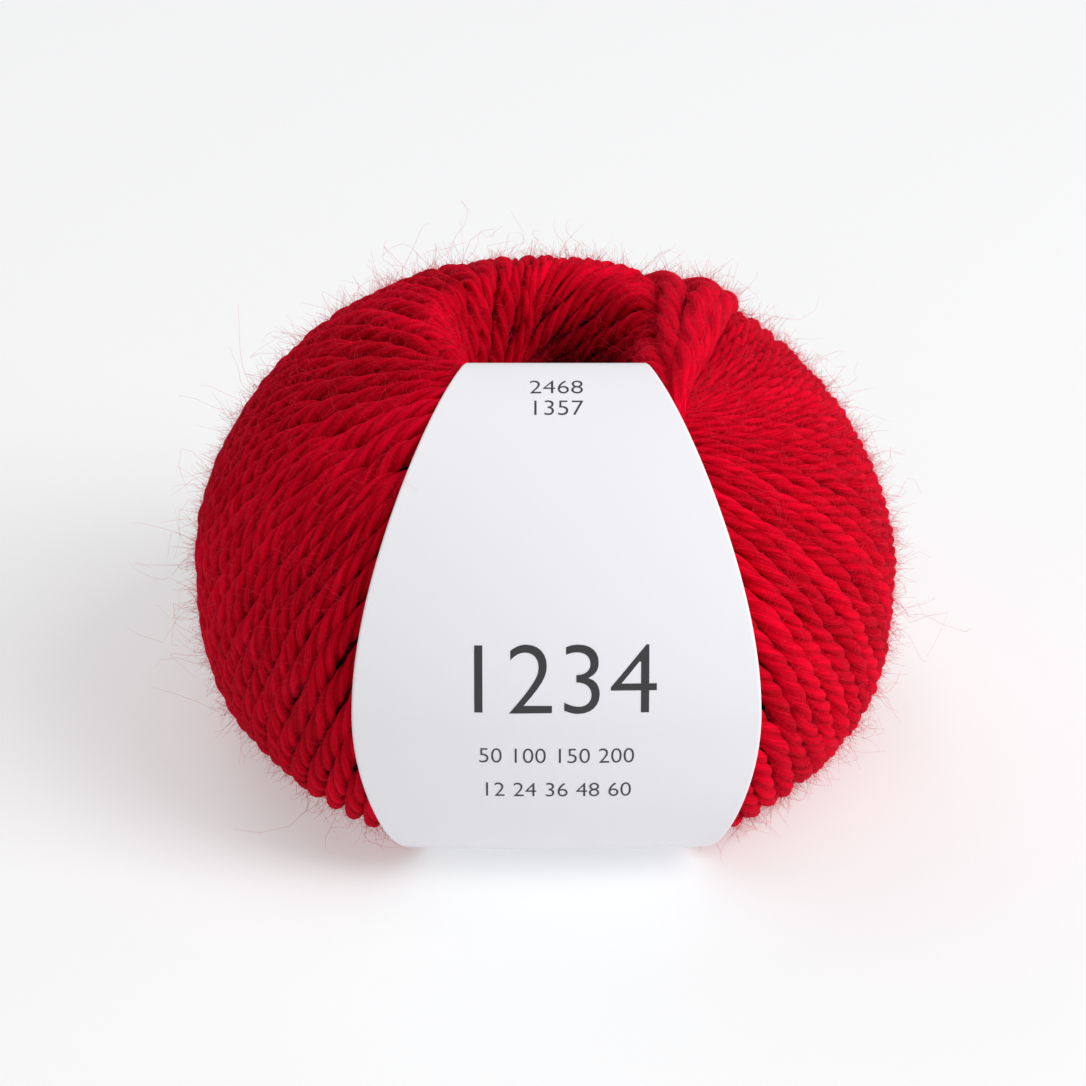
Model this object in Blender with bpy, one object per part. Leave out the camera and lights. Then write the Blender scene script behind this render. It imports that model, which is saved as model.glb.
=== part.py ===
"""A ball of thick plied yarn, wound as a low ring with a hole down its middle, in its paper band.

Metres, +Z up. The ball lies on its flat underside at Z = 0 and its hole runs along Z. The band
runs down the front of the ball, which faces -Y, then under the ball and up the hole.
An angle around the ball is 0 at the front and grows towards +X.
"""
import math

import bmesh
import bpy
import numpy as np
from mathutils import kdtree

# Wound ball, as one ring with a hole
BALL_RADIUS = 0.0500
BALL_HEIGHT = 0.0634
WAIST_HEIGHT = 0.0260                      # where the ball is widest
CREST_RADIUS = 0.0163                      # the highest line, around the hole
BASE_OUTER_RADIUS = 0.0296                 # the flat ring that the ball rests on
BASE_INNER_RADIUS = 0.0190
SHOULDER_ROUNDNESS = 1.72                  # superellipse exponents: 2 is an ellipse
FLANK_ROUNDNESS = 3.0
HOLE_RADIUS = 0.0110
UPPER_FUNNEL_DEPTH = 0.0140
LOWER_FUNNEL_DEPTH = 0.0100
LEAN = 0.0025                              # the left side has settled this much higher than the middle
LEAN_FADE_HEIGHT = 0.0150

# Turns of yarn, which fan out from the front of the hole's rim
TURNS_AROUND_WAIST = 72
TURNS_AROUND_HOLE = 36
TURN_PROFILE = (-1.0, 0.0, 0.0)            # one turn's three columns: valley, crown, crown
TURN_DEPTH = 0.0009
SWAY_AT_CREST = -0.62                      # radians, towards the front
SWAY_AT_BASE = 0.50                        # radians, away from the front
OUTER_ROWS = 19
LOWER_FUNNEL_ROWS = 4
UPPER_FUNNEL_ROWS = 7

# Three loose turns that cross the rim at the right and stand above the rest
LOOSE_ANGLE = math.radians(92)
LOOSE_SPREAD = math.radians(17)
LOOSE_RADIUS = 0.0225
LOOSE_WIDTH = 0.0065
LOOSE_LIFT = 0.0014

# The yarn swells beside the band, where the band draws it in
SWELL = 0.0016
SWELL_ANGLE = math.radians(34)
SWELL_SPREAD = math.radians(13)

# Paper band
PAPER = 0.0010
GAP = 0.0003                               # between the paper and the yarn
BAND_INSET = 0.0002                        # from the ball's free outline in to the paper's outer face
BAND_SHIFT = 0.0014                        # the band sits to the right of the ball's middle
BAND_WIDTH = 0.0542
WIDEST_BELOW_CREST = 0.0525                # measured down the front
STRAP_WIDTH = 0.0215                       # under the ball and up the hole
STRAP_BLEND = 0.0020
TAPER_UP = (0.0287, 0.0300)                # a hyperbola's drop and reach
TAPER_DOWN = (0.0210, 0.0200)
CAMBER_RADIUS = 0.2400                     # the front's slight bend across its width
BAND_STATIONS = 64
BAND_STRIPS = 10

# Yarn pressed down by the band
PRESSED_EDGE = 0.0042                      # fully pressed as far as this beyond the paper's edge
PRESSED_EDGE_IN_HOLE = 0.0022
PRESSED_FADE = 0.0040                      # then rising over this width
PRESSED_RISE = 0.0030
PRESS_SLACK = 0.0001
PRESS_SLOPE = 1.5                          # how steeply the yarn rises past the pressed part
SAMPLE_STEP = 0.0007                       # between the points at which the paper is measured
CORE = np.array([0.0300, 0.0300])          # radius and height of the section's core, towards which it sinks
STEEPEST_PRESS = 0.6                       # cosine between that direction and the paper's
PRESSES = 3                                # passes, each nearer to the paper's true underside

CRIMSON = (0.610, 0.0022, 0.0168, 1.0)
PAPER_WHITE = (0.838, 0.838, 0.880, 1.0)


def ease(value):
    """A smooth step from 0 to 1."""
    value = np.clip(value, 0.0, 1.0)
    return value * value * (3.0 - 2.0 * value)


def wrap(angle):
    """The same angle between -pi and pi."""
    return (angle + math.pi) % (2.0 * math.pi) - math.pi


def quarter(roundness):
    """A superellipse's quarter, from (1, 0) to (0, 1)."""
    turn = np.linspace(0.0, math.pi / 2, 240)
    power = 2.0 / roundness
    return np.cos(turn).clip(0.0) ** power, np.sin(turn) ** power


def evenly(path, count):
    """Points at equal steps along a path, both ends included, and their distances along it."""
    run = np.concatenate([[0.0], np.cumsum(np.linalg.norm(np.diff(path, axis=0), axis=1))])
    stops = np.linspace(0.0, run[-1], count)
    places = np.stack([np.interp(stops, run, path[:, axis]) for axis in (0, 1)], axis=1)
    return places, stops


def outer_wall(inset=0.0):
    """Radius and height, from the crest over the shoulder and waist to the base's outer edge."""
    waist = BALL_RADIUS - inset
    out, up = quarter(SHOULDER_ROUNDNESS)
    shoulder = np.stack([CREST_RADIUS + (waist - CREST_RADIUS) * out,
                         WAIST_HEIGHT + (BALL_HEIGHT - inset - WAIST_HEIGHT) * up], axis=1)
    out, down = quarter(FLANK_ROUNDNESS)
    flank = np.stack([BASE_OUTER_RADIUS + (waist - BASE_OUTER_RADIUS) * out,
                      WAIST_HEIGHT - (WAIST_HEIGHT - inset) * down], axis=1)
    return np.concatenate([shoulder[::-1], flank[1:]])


def lower_funnel(inset=0.0, clearance=0.0):
    """Radius and height, from the base's inner edge up to the hole's straight wall."""
    neck = HOLE_RADIUS - clearance
    out, up = quarter(2.0)
    return np.stack([neck + (BASE_INNER_RADIUS - neck) * (1.0 - up),
                     inset + (LOWER_FUNNEL_DEPTH - inset) * (1.0 - out)], axis=1)


def upper_funnel(inset=0.0, clearance=0.0):
    """Radius and height, from the top of the hole's straight wall up to the crest."""
    neck = HOLE_RADIUS - clearance
    out, up = quarter(2.0)
    return np.stack([neck + (CREST_RADIUS - neck) * (1.0 - out),
                     BALL_HEIGHT - inset - UPPER_FUNNEL_DEPTH * (1.0 - up)], axis=1)


def ring(place, normal, sway, depth, turns):
    """One row of the ball's points, three to a turn, and their directions from the section's core.
    normal is the section's, in radius and height."""
    radius, height = place
    column = np.arange(turns * len(TURN_PROFILE))
    even = column * (2.0 * math.pi / len(column))
    angle = even + sway * np.sin(even)
    crowding = (1.0 + sway * np.cos(even)).clip(0.0, 1.0)
    proud = np.array(TURN_PROFILE)[column % len(TURN_PROFILE)] * depth * crowding
    if radius > CREST_RADIUS:
        beside_band = np.exp(-((np.abs(wrap(angle)) - SWELL_ANGLE) / SWELL_SPREAD) ** 2)
        proud += SWELL * math.sin(math.pi * height / BALL_HEIGHT) * beside_band
    if height > WAIST_HEIGHT:
        proud += LOOSE_LIFT * np.exp(-(wrap(angle - LOOSE_ANGLE) / LOOSE_SPREAD) ** 2
                                     - ((radius - LOOSE_RADIUS) / LOOSE_WIDTH) ** 2)
    reach = radius + proud * normal[0]
    x = reach * np.sin(angle)
    y = -reach * np.cos(angle)
    z = height + proud * normal[1] - LEAN * x / BALL_RADIUS * ease(height / LEAN_FADE_HEIGHT)
    across, up = place - CORE
    from_core = np.stack([across * np.sin(angle), -across * np.cos(angle), np.full(len(column), up)], axis=1)
    return np.stack([x, y, z], axis=1), from_core / math.hypot(across, up)


def section_normals(path):
    """The outward normal of a closed section at each of its points."""
    ahead = np.roll(path, -1, axis=0) - np.roll(path, 1, axis=0)
    ahead /= np.linalg.norm(ahead, axis=1)[:, None]
    return np.stack([-ahead[:, 1], ahead[:, 0]], axis=1)


def ball_rings():
    """The ball's rows, from the crest down its outside, under it and up the hole."""
    outer, run = evenly(outer_wall(), OUTER_ROWS)
    low = evenly(lower_funnel(), LOWER_FUNNEL_ROWS)[0]
    high = evenly(upper_funnel(), UPPER_FUNNEL_ROWS)[0][:-1]
    places = np.concatenate([outer, low, high])
    normals = section_normals(places)

    waist_run = run[np.argmax(outer[:, 0])]
    above = (1.0 - run / waist_run).clip(0.0)
    below = ((run - waist_run) / (run[-1] - waist_run)).clip(0.0)
    outer_sways = SWAY_AT_CREST * above ** 1.2 + SWAY_AT_BASE * below
    height = np.concatenate([low, high])[:, 1]
    hole_sways = (SWAY_AT_BASE * ease(1.0 - height / LOWER_FUNNEL_DEPTH)
                  + SWAY_AT_CREST * ease(1.0 - (BALL_HEIGHT - height) / UPPER_FUNNEL_DEPTH))
    sways = np.concatenate([outer_sways, hole_sways])
    depths = TURN_DEPTH * np.concatenate([ease(4.0 * (1.0 - below)), ease(height / LOWER_FUNNEL_DEPTH)])
    turns = [TURNS_AROUND_WAIST] * OUTER_ROWS + [TURNS_AROUND_HOLE] * len(height)
    turns[0] = TURNS_AROUND_HOLE
    return [ring(*row) for row in zip(places, normals, sways, depths, turns)]


def narrowing(distance, drop, reach):
    return drop * (np.sqrt(1.0 + (distance / reach) ** 2) - 1.0)


def band_surface(stations, across):
    """The band's middle surface: points, outward normals, distances from its edge, which are negative
    on the paper, and how far up the hole each station is. across holds places over the width, where
    -1 and 1 are the edges."""
    inset = BAND_INSET + PAPER / 2
    neck = HOLE_RADIUS - GAP - PAPER / 2
    front = outer_wall(inset)
    clearance = GAP + PAPER / 2
    path = np.concatenate([front, lower_funnel(inset, clearance), upper_funnel(inset, clearance)])
    places, run = evenly(path, stations + 1)
    places, run = places[:-1], run[:-1]
    length = run[1] * stations

    # how far each station is up the hole: 0 outside it and 1 on its straight wall
    height = places[:, 1]
    in_hole = places[:, 0] < CREST_RADIUS
    depth_in = np.minimum((height - inset) / LOWER_FUNNEL_DEPTH,
                          (BALL_HEIGHT - inset - height) / UPPER_FUNNEL_DEPTH)
    inside = np.where(in_hole, ease(depth_in), 0.0)

    front_length = np.linalg.norm(np.diff(front, axis=0), axis=1).sum()
    camber = np.sin(math.pi * (run / front_length).clip(0.0, 1.0)) / CAMBER_RADIUS
    bend = inside / neck - camber + 1e-6

    down = run - WIDEST_BELOW_CREST
    up = np.where(down < 0.0, -down, WIDEST_BELOW_CREST + length - run)
    taper = np.where((down > 0.0) & (down < up), narrowing(down, *TAPER_DOWN), narrowing(up, *TAPER_UP))
    over_strap = BAND_WIDTH - taper - STRAP_WIDTH
    half = (STRAP_WIDTH + (over_strap + np.hypot(over_strap, STRAP_BLEND)) / 2) / 2

    middle = np.stack([-places[:, 0], height], axis=1)
    outward = -section_normals(middle)

    side = half[:, None] * across[None, :]
    turned = bend[:, None] * side
    x = BAND_SHIFT * (1.0 - inside)[:, None] + np.sin(turned) / bend[:, None]
    lift = (1.0 - np.cos(turned)) / bend[:, None]
    yz = middle[:, None, :] + lift[:, :, None] * outward[:, None, :]
    points = np.concatenate([x[:, :, None], yz], axis=2)
    normals = np.concatenate([-np.sin(turned)[:, :, None],
                              np.cos(turned)[:, :, None] * outward[:, None, :]], axis=2)
    return points, normals, np.abs(side) - half[:, None], inside


def press_down(rings):
    """Sink the yarn's points under the band to just below the paper, each towards its section's core."""
    points, normals, beyond, inside = band_surface(6 * BAND_STATIONS, np.linspace(-1.8, 1.8, 73))
    rise = (beyond - PRESSED_EDGE + (PRESSED_EDGE - PRESSED_EDGE_IN_HOLE) * inside[:, None]) / PRESSED_FADE
    near = rise < 1.0
    points, normals, fade = points[near], normals[near], rise[near].clip(0.0)
    limit = -(PAPER / 2 + GAP + PRESS_SLACK) + PRESSED_RISE * fade
    paper = kdtree.KDTree(len(points))
    for index, point in enumerate(points):
        paper.insert(point, index)
    paper.balance()
    for places, from_core in rings:
        for index, place in enumerate(places):
            _, nearest, distance = paper.find(place)
            height = np.dot(place - points[nearest], normals[nearest])
            aside = math.sqrt(max(distance ** 2 - height ** 2, 0.0))
            excess = height - limit[nearest] - PRESS_SLOPE * max(aside - SAMPLE_STEP, 0.0)
            if excess > 0.0:
                slant = max(np.dot(from_core[index], normals[nearest]), STEEPEST_PRESS)
                places[index] -= from_core[index] * excess / slant


def bridge(bm, first, second):
    """Faces between two rows of points, of the same count or with one twice the other."""
    if len(first) < len(second):
        bridge(bm, second, first)
        return
    ratio = len(first) // len(second)
    for j in range(len(second)):
        near, far = second[j], second[(j + 1) % len(second)]
        if ratio == 1:
            bm.faces.new((first[j], first[(j + 1) % len(first)], far, near))
            continue
        a, b, c = (first[(2 * j + k) % len(first)] for k in range(3))
        bm.faces.new((a, b, near))
        bm.faces.new((b, far, near))
        bm.faces.new((b, c, far))


def finish(name, bm, colour, roughness):
    """Turn the faces outwards and make the object with its own material."""
    bmesh.ops.recalc_face_normals(bm, faces=bm.faces)
    mesh = bpy.data.meshes.new(name)
    bm.to_mesh(mesh)
    bm.free()
    mesh.shade_smooth()
    material = bpy.data.materials.new(name)
    material.use_nodes = True
    shader = material.node_tree.nodes["Principled BSDF"]
    shader.inputs["Base Color"].default_value = colour
    shader.inputs["Roughness"].default_value = roughness
    shader.inputs["Metallic"].default_value = 0.0
    mesh.materials.append(material)
    piece = bpy.data.objects.new(name, mesh)
    bpy.context.scene.collection.objects.link(piece)
    return piece


def make_yarn_ball():
    rings = ball_rings()
    for _ in range(PRESSES):
        press_down(rings)
    bm = bmesh.new()
    rows = [[bm.verts.new(place) for place in places] for places, _ in rings]
    for row, following in zip(rows, rows[1:] + rows[:1]):
        bridge(bm, row, following)
    return finish("yarn_ball", bm, CRIMSON, 0.9)


def make_paper_band():
    points, normals, _, _ = band_surface(BAND_STATIONS, np.linspace(-1.0, 1.0, BAND_STRIPS + 1))
    outer = points + normals * PAPER / 2
    inner = points - normals * PAPER / 2
    bm = bmesh.new()
    # one closed outline around the paper's cross-section at each station
    rows = [[bm.verts.new(place) for place in (*out, *back[::-1])] for out, back in zip(outer, inner)]
    for row, following in zip(rows, rows[1:] + rows[:1]):
        bridge(bm, row, following)
    return finish("paper_band", bm, PAPER_WHITE, 0.6)


for leftover in list(bpy.data.objects):
    bpy.data.objects.remove(leftover, do_unlink=True)
make_yarn_ball()
make_paper_band()
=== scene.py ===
"""A ball of thick crimson wool in its white paper band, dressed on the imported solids.

Metres, +Z up, as in the frame. Azimuths are in radians from +X, anticlockwise seen from above, so
the front, which the band covers, is at -90 degrees.
"""

import math

import bmesh
import bpy
import numpy as np
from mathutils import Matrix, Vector, kdtree


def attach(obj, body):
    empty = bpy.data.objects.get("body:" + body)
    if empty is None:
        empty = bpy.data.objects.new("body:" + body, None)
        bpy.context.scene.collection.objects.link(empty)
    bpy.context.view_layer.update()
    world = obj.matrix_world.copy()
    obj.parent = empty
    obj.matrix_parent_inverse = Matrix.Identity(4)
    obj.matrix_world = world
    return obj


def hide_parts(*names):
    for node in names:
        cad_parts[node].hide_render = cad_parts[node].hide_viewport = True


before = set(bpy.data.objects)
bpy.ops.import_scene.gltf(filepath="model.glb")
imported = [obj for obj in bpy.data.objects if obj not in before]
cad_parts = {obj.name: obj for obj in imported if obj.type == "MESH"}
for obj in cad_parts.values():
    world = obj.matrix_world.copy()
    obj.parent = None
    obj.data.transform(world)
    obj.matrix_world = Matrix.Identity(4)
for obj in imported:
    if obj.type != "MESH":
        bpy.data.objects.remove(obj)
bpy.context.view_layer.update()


# ---- Camera -------------------------------------------------------------------------------------
# The ball lies on a table and is seen from the front, a little from above, through a long lens.

CAMERA_HEIGHT = math.radians(28.0)
CAMERA_DISTANCE = 0.600
CAMERA_LENS = 139.6                        # millimetres, on a sensor 36 mm wide
CAMERA_TARGET = Vector((-0.00038, 0.0, 0.0260))
CAMERA_LIFT = 0.00122                      # along the picture's own upward direction

camera_data = bpy.data.cameras.new("camera")
camera_data.lens = CAMERA_LENS
camera_data.sensor_width = 36.0
camera_data.clip_start = 0.01
camera = bpy.data.objects.new("camera", camera_data)
toward = Vector((0.0, math.cos(CAMERA_HEIGHT), -math.sin(CAMERA_HEIGHT)))
picture_up = Vector((0.0, math.sin(CAMERA_HEIGHT), math.cos(CAMERA_HEIGHT)))
camera.location = CAMERA_TARGET - CAMERA_DISTANCE * toward + CAMERA_LIFT * picture_up
camera.rotation_euler = (math.pi / 2 - CAMERA_HEIGHT, 0.0, 0.0)
bpy.context.scene.collection.objects.link(camera)
bpy.context.scene.camera = camera


# ---- The ball's inner layers --------------------------------------------------------------------
# Wool wound on a machine into a low ring with a hole down its middle. Only a dark hint of these
# layers shows between the outer turns, so they are one soft body just below them, coloured far darker
# than the outer wool: painted shade of the gaps between the turns.

BALL_RADIUS = 0.0500
BALL_HEIGHT = 0.0634
WAIST_HEIGHT = 0.0260                      # where the ball is widest
CREST_RADIUS = 0.0163                      # the highest line, around the hole
BASE_OUTER_RADIUS = 0.0296                 # the flat ring that the ball rests on
BASE_INNER_RADIUS = 0.0190
SHOULDER_ROUNDNESS = 1.72                  # superellipse exponents: 2 is an ellipse
FLANK_ROUNDNESS = 3.0
HOLE_RADIUS = 0.0110
UPPER_FUNNEL_DEPTH = 0.0140
LOWER_FUNNEL_DEPTH = 0.0100
LEAN = 0.0009                              # the left side has settled this much higher than the middle
LEAN_FADE_HEIGHT = 0.0060
SWELL = 0.0024                             # the yarn swells beside the band
SWELL_ANGLE = math.radians(34)
SWELL_SPREAD = math.radians(13)
FRONT = math.radians(-90)
YARN = 0.0034                              # thickness of the yarn where nothing squeezes it
CORE_DEPTH = 0.0034                        # below the turns' outermost points
CORE_ROWS = 110
CORE_COLUMNS = 120
SECTION_STEPS = 1200


def ease(value):
    """A smooth step from 0 to 1."""
    value = np.clip(value, 0.0, 1.0)
    return value * value * (3.0 - 2.0 * value)


def wrap(angle):
    """The same angle between -pi and pi."""
    return (angle + math.pi) % (2.0 * math.pi) - math.pi


def quarter(roundness):
    """A superellipse's quarter, from (1, 0) to (0, 1)."""
    turn = np.linspace(0.0, math.pi / 2, 240)
    power = 2.0 / roundness
    return np.cos(turn).clip(0.0) ** power, np.sin(turn) ** power


def outer_wall(inset=0.0):
    """Radius and height, from the crest over the shoulder and waist to the base's outer edge."""
    waist = BALL_RADIUS - inset
    out, up = quarter(SHOULDER_ROUNDNESS)
    shoulder = np.stack([CREST_RADIUS + (waist - CREST_RADIUS) * out,
                         WAIST_HEIGHT + (BALL_HEIGHT - inset - WAIST_HEIGHT) * up], axis=1)
    out, down = quarter(FLANK_ROUNDNESS)
    flank = np.stack([BASE_OUTER_RADIUS + (waist - BASE_OUTER_RADIUS) * out,
                      WAIST_HEIGHT - (WAIST_HEIGHT - inset) * down], axis=1)
    return np.concatenate([shoulder[::-1], flank[1:]])


def lower_funnel(inset=0.0, clearance=0.0):
    """Radius and height, from the base's inner edge up to the hole's straight wall."""
    neck = HOLE_RADIUS - clearance
    out, up = quarter(2.0)
    return np.stack([neck + (BASE_INNER_RADIUS - neck) * (1.0 - up),
                     inset + (LOWER_FUNNEL_DEPTH - inset) * (1.0 - out)], axis=1)


def upper_funnel(inset=0.0, clearance=0.0):
    """Radius and height, from the top of the hole's straight wall up to the crest."""
    neck = HOLE_RADIUS - clearance
    out, up = quarter(2.0)
    return np.stack([neck + (CREST_RADIUS - neck) * (1.0 - out),
                     BALL_HEIGHT - inset - UPPER_FUNNEL_DEPTH * (1.0 - up)], axis=1)


def section_normals(path):
    """The outward normal of a closed section at each of its points."""
    ahead = np.roll(path, -1, axis=0) - np.roll(path, 1, axis=0)
    ahead /= np.linalg.norm(ahead, axis=1)[:, None]
    return np.stack([-ahead[:, 1], ahead[:, 0]], axis=1)


def ball_section():
    """The ring's closed section at even steps from the crest: distances, places and normals."""
    path = np.concatenate([outer_wall(), lower_funnel(), upper_funnel()])
    moved = np.linalg.norm(np.diff(path, axis=0), axis=1) > 1e-9
    path = path[np.concatenate([[True], moved])]
    run = np.concatenate([[0.0], np.cumsum(np.linalg.norm(np.diff(path, axis=0), axis=1))])
    stops = np.linspace(0.0, run[-1], SECTION_STEPS, endpoint=False)
    places = np.stack([np.interp(stops, run, path[:, axis]) for axis in (0, 1)], axis=1)
    for _ in range(6):
        places = (np.roll(places, 1, axis=0) + 2.0 * places + np.roll(places, -1, axis=0)) / 4.0
    return stops, run[-1], places, section_normals(places)


SECTION_RUN, SECTION_LENGTH, SECTION_PLACES, SECTION_NORMALS = ball_section()
WAIST_ARC = float(SECTION_RUN[np.argmax(SECTION_PLACES[:, 0])])


def section_at(arc, depth=0.0):
    """Radius, height and normal at a distance from the crest, positive down the outside."""
    where = np.mod(arc, SECTION_LENGTH)
    run = np.append(SECTION_RUN, SECTION_LENGTH)
    columns = np.concatenate([SECTION_PLACES, SECTION_NORMALS], axis=1)
    columns = np.concatenate([columns, columns[:1]])
    radius, height, out, up = (np.interp(where, run, column) for column in columns.T)
    size = np.hypot(out, up)
    out, up = out / size, up / size
    return radius - depth * out, height - depth * up, out, up


def on_ball(azimuth, arc, depth=0.0):
    """Points at a depth below the wound form's outside, and their outward normals."""
    radius, height, out, up = section_at(arc)
    beside_band = np.exp(-((np.abs(wrap(azimuth - FRONT)) - SWELL_ANGLE) / SWELL_SPREAD) ** 2)
    swell = SWELL * np.sqrt(np.sin(math.pi * (height / BALL_HEIGHT).clip(0.0, 1.0))) * beside_band
    swell = np.where(radius > CREST_RADIUS, swell, 0.0)
    proud = swell - depth
    reach = radius + proud * out
    x = reach * np.cos(azimuth)
    y = reach * np.sin(azimuth)
    z = height + proud * up
    z = z - LEAN * x / BALL_RADIUS * ease(z / LEAN_FADE_HEIGHT)
    up = np.broadcast_to(up, x.shape)
    normals = np.stack([out * np.cos(azimuth), out * np.sin(azimuth), up], axis=-1)
    return np.stack([x, y, z], axis=-1), normals


def link(name, mesh):
    piece = bpy.data.objects.new(name, mesh)
    bpy.context.scene.collection.objects.link(piece)
    return piece


def closed_grid(name, rows):
    """A mesh over rows of points, closed both along and across the rows."""
    count, width = rows.shape[:2]
    here = np.arange(count * width).reshape(count, width)
    below = np.roll(here, -1, axis=0)
    faces = np.stack([here, below, np.roll(below, -1, axis=1), np.roll(here, -1, axis=1)], axis=-1)
    mesh = bpy.data.meshes.new(name)
    mesh.from_pydata(rows.reshape(-1, 3).tolist(), [], faces.reshape(-1, 4).tolist())
    mesh.validate()
    bm = bmesh.new()
    bm.from_mesh(mesh)
    bmesh.ops.recalc_face_normals(bm, faces=bm.faces)
    bm.to_mesh(mesh)
    bm.free()
    mesh.shade_smooth()
    return mesh


# the paper band presses what lies below it; its surface is made again for the band itself
PAPER_SOLID = 0.0010                       # the band's thickness in the solids
PAPER = 0.00035
GAP = 0.0003                               # between the paper and the yarn
BAND_INSET = 0.0002                        # from the ball's free outline in to the paper's outer face
BAND_SHIFT = 0.0014                        # the band sits to the right of the ball's middle
BAND_WIDTH = 0.0542
WIDEST_BELOW_CREST = 0.0525                # measured down the front
STRAP_WIDTH = 0.0215                       # under the ball and up the hole
STRAP_BLEND = 0.0020
TAPER_UP = (0.0287, 0.0300)                # a hyperbola's drop and reach
TAPER_DOWN = (0.0210, 0.0200)
CAMBER_RADIUS = 0.2400                     # the front's slight bend across its width
PRESSED_EDGE = 0.0003                      # the yarn is held down this far beyond the paper's edge
PRESSED_FADE = 0.0028
PRESSED_ASIDE = 0.0032                     # nothing further off to the side of the paper is pressed
PRESSED_ASIDE_FADE = 0.0020


def evenly(path, count):
    """Points at equal steps along a path, both ends included, and their distances along it."""
    run = np.concatenate([[0.0], np.cumsum(np.linalg.norm(np.diff(path, axis=0), axis=1))])
    stops = np.linspace(0.0, run[-1], count)
    places = np.stack([np.interp(stops, run, path[:, axis]) for axis in (0, 1)], axis=1)
    return places, stops


def narrowing(distance, drop, reach):
    return drop * (np.sqrt(1.0 + (distance / reach) ** 2) - 1.0)


def band_lines(stations):
    """Lines across the solid band's middle surface, at even steps around its loop from the crest.
    Columns: distance from the crest, y, z, outward y, outward z, bend, shift in x, half width."""
    inset = BAND_INSET + PAPER_SOLID / 2
    clearance = GAP + PAPER_SOLID / 2
    neck = HOLE_RADIUS - clearance
    front = outer_wall(inset)
    path = np.concatenate([front, lower_funnel(inset, clearance), upper_funnel(inset, clearance)])
    places, run = evenly(path, stations + 1)
    places, run = places[:-1], run[:-1]
    length = run[1] * stations

    # how far each line is up the hole: 0 outside it and 1 on its straight wall
    height = places[:, 1]
    in_hole = places[:, 0] < CREST_RADIUS
    depth_in = np.minimum((height - inset) / LOWER_FUNNEL_DEPTH,
                          (BALL_HEIGHT - inset - height) / UPPER_FUNNEL_DEPTH)
    inside = np.where(in_hole, ease(depth_in), 0.0)
    front_length = np.linalg.norm(np.diff(front, axis=0), axis=1).sum()
    camber = np.sin(math.pi * (run / front_length).clip(0.0, 1.0)) / CAMBER_RADIUS
    bend = inside / neck - camber + 1e-6

    down = run - WIDEST_BELOW_CREST
    up = np.where(down < 0.0, -down, WIDEST_BELOW_CREST + length - run)
    taper = np.where((down > 0.0) & (down < up), narrowing(down, *TAPER_DOWN), narrowing(up, *TAPER_UP))
    over_strap = BAND_WIDTH - taper - STRAP_WIDTH
    half = (STRAP_WIDTH + (over_strap + np.hypot(over_strap, STRAP_BLEND)) / 2) / 2
    middle = np.stack([-places[:, 0], height], axis=1)
    outward = -section_normals(middle)
    return np.column_stack([run, middle, outward, bend, BAND_SHIFT * (1.0 - inside), half])


def across_band(lines, side, rise):
    """Points on the band's lines, a distance to the side of its middle and above its middle
    surface, and their outward normals."""
    y, z, out_y, out_z, bend, shift = (column[:, None] for column in lines.T[1:7])
    turned = bend * side
    lift = (1.0 - np.cos(turned)) / bend
    normals = np.stack([-np.sin(turned), np.cos(turned) * out_y, np.cos(turned) * out_z], axis=-1)
    points = np.stack([shift + np.sin(turned) / bend, y + lift * out_y, z + lift * out_z], axis=-1)
    return points + np.asarray(rise)[..., None] * normals, normals


def search_tree(points):
    tree = kdtree.KDTree(len(points))
    for index, point in enumerate(points):
        tree.insert(point, index)
    tree.balance()
    return tree


paper_lines = band_lines(300)
paper_half = paper_lines[:, 7:8]
paper_side = paper_half * np.linspace(-1.5, 1.5, 61)
paper_points, paper_normals = across_band(paper_lines, paper_side, np.zeros_like(paper_side))
paper_beyond = np.abs(paper_side) - paper_half
near_paper = paper_beyond < PRESSED_EDGE + PRESSED_FADE
paper_points, paper_normals = paper_points[near_paper], paper_normals[near_paper]
paper_beyond = paper_beyond[near_paper]
paper_tree = search_tree(paper_points)


def below_paper(places, normals):
    """How much deeper each point of a path must lie to pass under the band."""
    deeper = np.zeros(len(places))
    for index, place in enumerate(places):
        _, nearest, distance = paper_tree.find(place)
        if distance > 2.0 * YARN:
            continue
        height = np.dot(place - paper_points[nearest], paper_normals[nearest])
        aside = math.sqrt(max(distance ** 2 - height ** 2, 0.0))
        fade = ease((paper_beyond[nearest] - PRESSED_EDGE) / PRESSED_FADE)
        room = PAPER_SOLID / 2 - PAPER - YARN / 2 + YARN * fade
        deeper[index] = max(height - room, 0.0) / max(np.dot(normals[index], paper_normals[nearest]), 0.5)
        deeper[index] *= ease((PRESSED_ASIDE - aside) / PRESSED_ASIDE_FADE)
    return deeper


core_arcs = np.linspace(0.0, SECTION_LENGTH, CORE_ROWS, endpoint=False)
core_azimuths = np.linspace(0.0, 2.0 * math.pi, CORE_COLUMNS, endpoint=False)
core_places, core_normals = on_ball(core_azimuths[None, :], core_arcs[:, None], CORE_DEPTH)
for row, row_normals in zip(core_places, core_normals):
    row -= row_normals * below_paper(row, row_normals)[:, None]
core = link("inner_layers", closed_grid("inner_layers", core_places))

# painted shade: the inner layers are coloured near black to dark crimson, far darker than the wool itself
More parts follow.
